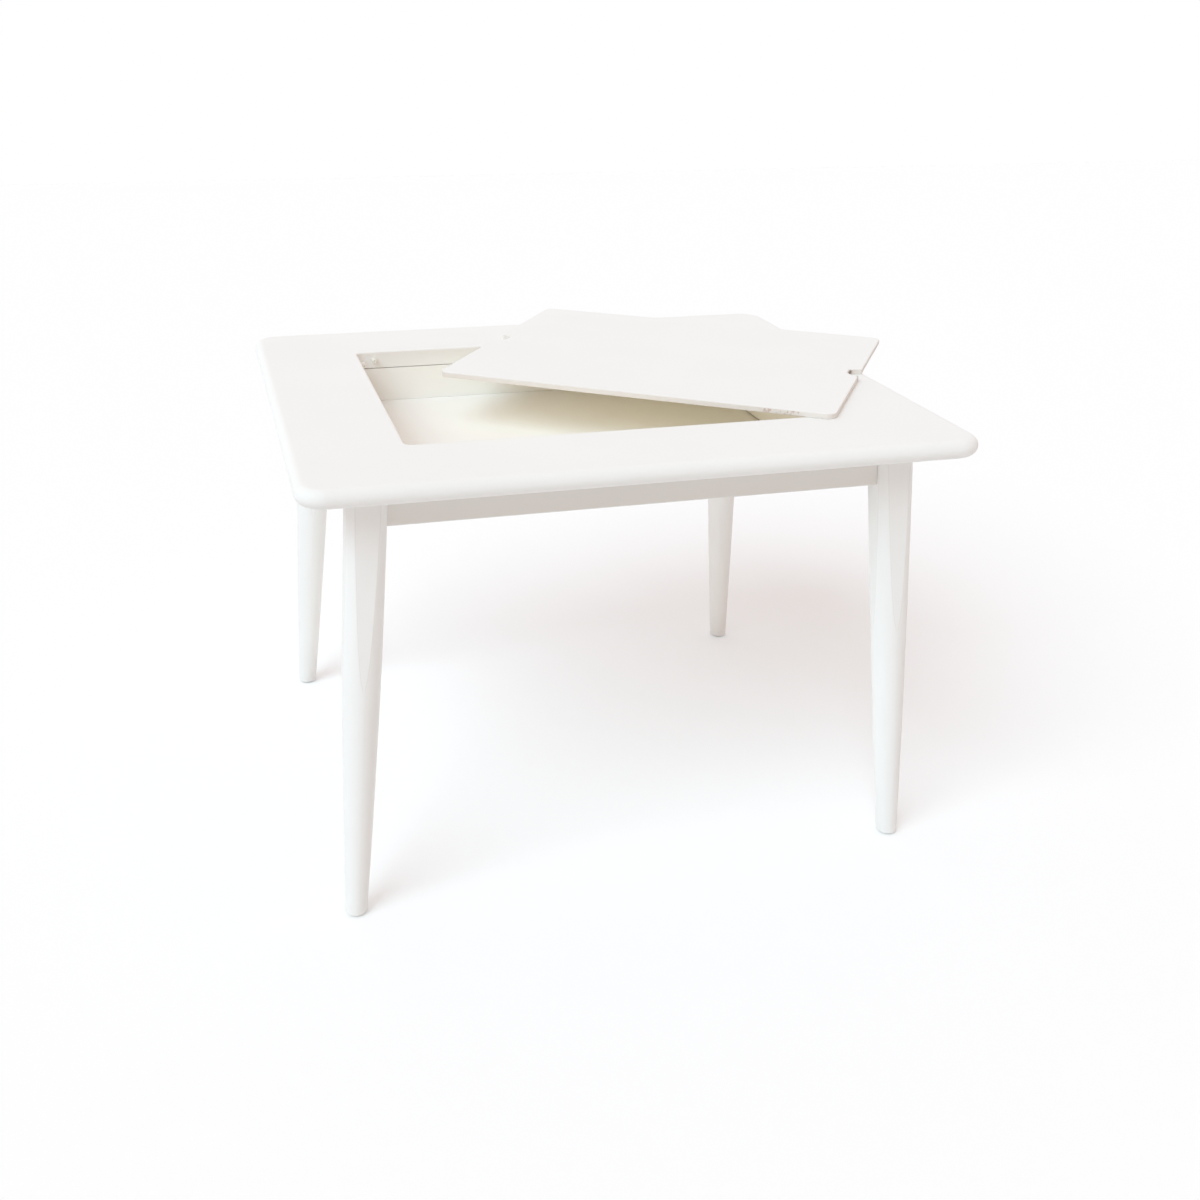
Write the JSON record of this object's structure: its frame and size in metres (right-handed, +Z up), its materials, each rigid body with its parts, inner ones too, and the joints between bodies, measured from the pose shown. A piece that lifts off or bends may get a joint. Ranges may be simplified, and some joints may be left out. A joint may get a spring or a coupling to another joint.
{
  "type": "kids table with storage",
  "caption": "Low rectangular play table with splayed tapered legs, a full-round top edge and a shallow storage box under an opening, its loose lid lying askew on the top.",
  "frame": {"origin": "middle of the table on the floor, midway between the four feet", "axes": "+X along the table's width to the right, +Y to the back, +Z up"},
  "size_m": [0.7947, 0.6726, 0.506],
  "materials": {
    "painted_wood": "satin white lacquer",
    "painted_board": "satin white lacquer on board",
    "nylon": "moulded",
    "zinc_steel": "zinc plated"
  },
  "bodies": {
    "table": {"table_top": "painted_wood", "lid_pegs": "nylon", "apron_front": "painted_wood", "apron_back": "painted_wood", "apron_left": "painted_wood", "apron_right": "painted_wood", "leg_front_left": "painted_wood", "leg_front_right": "painted_wood", "leg_back_left": "painted_wood", "leg_back_right": "painted_wood", "foot_glides": "nylon", "box_wall_front": "painted_board", "box_wall_back": "painted_board", "box_wall_left": "painted_board", "box_wall_right": "painted_board", "box_floor": "painted_board", "box_corner_screws": "zinc_steel", "box_floor_screws": "zinc_steel", "corner_plate_front_left": "zinc_steel", "corner_plate_front_right": "zinc_steel", "corner_plate_back_left": "zinc_steel", "corner_plate_back_right": "zinc_steel", "corner_plate_screws": "zinc_steel", "leg_bolts": "zinc_steel", "leg_washers": "zinc_steel", "leg_nuts": "zinc_steel", "apron_brackets": "zinc_steel", "box_brackets": "zinc_steel", "bracket_screws": "zinc_steel"},
    "lid": {"lid": "painted_board"}
  },
  "joints": [
    {"name": "lid_lift", "type": "slide", "parent": "table", "child": "lid", "axis": [0, 0, 1], "range_m": [0, 0.3]}
  ]
}
